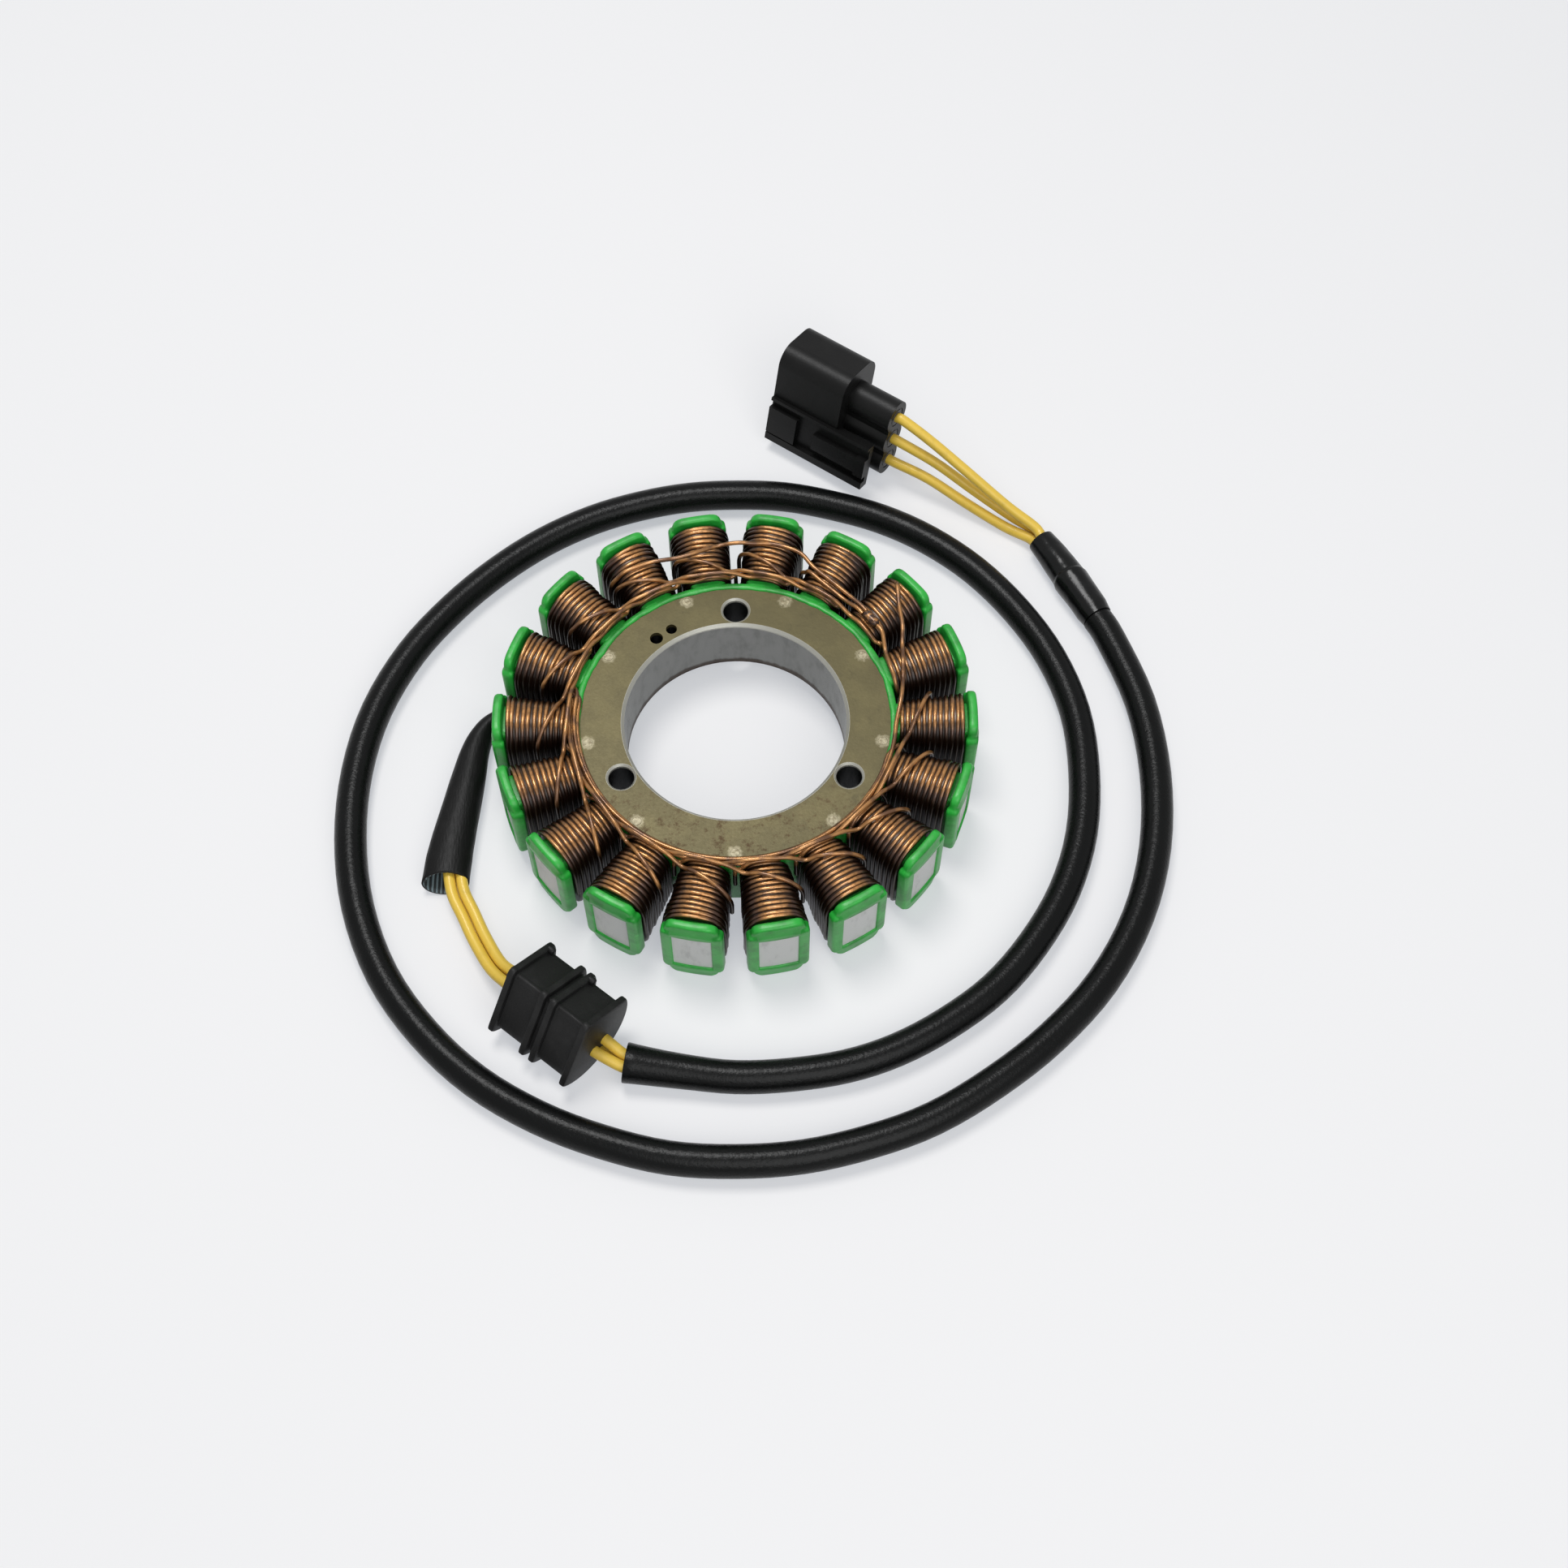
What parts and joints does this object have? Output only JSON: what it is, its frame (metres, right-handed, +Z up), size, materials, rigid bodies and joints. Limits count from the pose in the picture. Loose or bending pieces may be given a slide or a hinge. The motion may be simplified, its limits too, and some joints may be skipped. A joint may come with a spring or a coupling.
{
  "type": "wound stator",
  "caption": "Alternator stator: a green-coated steel core with wound copper poles, a bolted ring, and a sheathed lead harness with grommet and plug connector.",
  "frame": {"origin": "on the bore's axis, at the plane of the pole tips that the stator rests on", "axes": "+Z up the bore's axis, towards the face with the jumper wires; +Y through one bolt hole; +X to the right of it, with the leads leaving on -X"},
  "size_m": [0.21, 0.2308, 0.0316],
  "materials": {
    "core_steel": "machined",
    "plate_steel": "dull olive plating",
    "rivet_steel": "satin",
    "green_epoxy": "semi-gloss",
    "enamelled_copper": "clear enamel",
    "varnished_solder": "varnished",
    "black_fibre": "matte",
    "tinned_copper": "satin",
    "yellow_insulation": "satin",
    "black_rubber": "matte",
    "black_vinyl": "gloss",
    "black_nylon": "satin",
    "seal_rubber": "matte"
  },
  "bodies": {
    "root": {"lamination_stack": "core_steel", "upper_end_plate": "plate_steel", "lower_end_plate": "plate_steel", "core_rivets": "rivet_steel", "green_coating": "green_epoxy", "coil_01": "enamelled_copper", "coil_02": "enamelled_copper", "coil_03": "enamelled_copper", "coil_04": "enamelled_copper", "coil_05": "enamelled_copper", "coil_06": "enamelled_copper", "coil_07": "enamelled_copper", "coil_08": "enamelled_copper", "coil_09": "enamelled_copper", "coil_10": "enamelled_copper", "coil_11": "enamelled_copper", "coil_12": "enamelled_copper", "coil_13": "enamelled_copper", "coil_14": "enamelled_copper", "coil_15": "enamelled_copper", "coil_16": "enamelled_copper", "coil_17": "enamelled_copper", "coil_18": "enamelled_copper", "phase_a_jumpers": "enamelled_copper", "phase_b_jumpers": "enamelled_copper", "phase_c_jumpers": "enamelled_copper", "phase_a_tail": "enamelled_copper", "phase_b_tail": "enamelled_copper", "phase_c_tail": "enamelled_copper", "star_wires": "enamelled_copper", "star_joint": "varnished_solder", "fibre_sleeve": "black_fibre", "crimp_splices": "tinned_copper", "lead_1": "yellow_insulation", "lead_2": "yellow_insulation", "lead_3": "yellow_insulation", "grommet": "black_rubber", "sheath": "black_vinyl", "sheath_wrap": "black_vinyl", "connector_lead_1": "yellow_insulation", "connector_lead_2": "yellow_insulation", "connector_lead_3": "yellow_insulation", "connector_housing": "black_nylon", "connector_seals": "seal_rubber", "connector_blades": "tinned_copper"}
  },
  "joints": []
}
